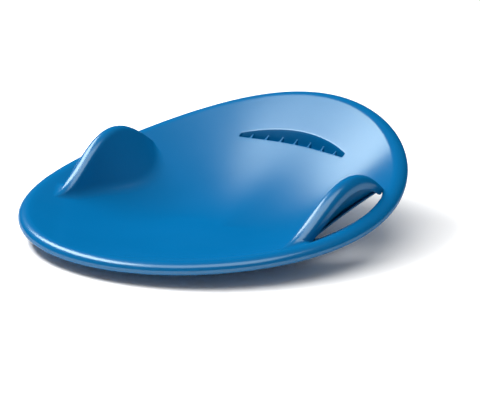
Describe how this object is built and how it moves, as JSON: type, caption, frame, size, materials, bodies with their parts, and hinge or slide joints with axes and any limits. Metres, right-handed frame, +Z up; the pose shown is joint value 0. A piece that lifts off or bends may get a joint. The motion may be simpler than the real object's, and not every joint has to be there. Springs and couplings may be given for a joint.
{
  "type": "saucer sled",
  "caption": "Round plastic saucer sled: a dished seat with a high back and low front, a rolled rim, hooked handles over hand openings at the sides and a ribbed crescent grip at the back.",
  "frame": {"origin": "centre of the round outline, on the ground under the seat", "axes": "+Z up, +Y towards the high back, +X towards the rider's left as the rider faces the low front"},
  "size_m": [0.5999, 0.6, 0.1683],
  "materials": {
    "blue_plastic": "satin gloss, moulded in one colour"
  },
  "bodies": {
    "root": {"seat_shell": "blue_plastic", "rolled_rim": "blue_plastic", "left_handle": "blue_plastic", "right_handle": "blue_plastic", "grip_tray": "blue_plastic", "grip_ribs": "blue_plastic"}
  },
  "joints": []
}
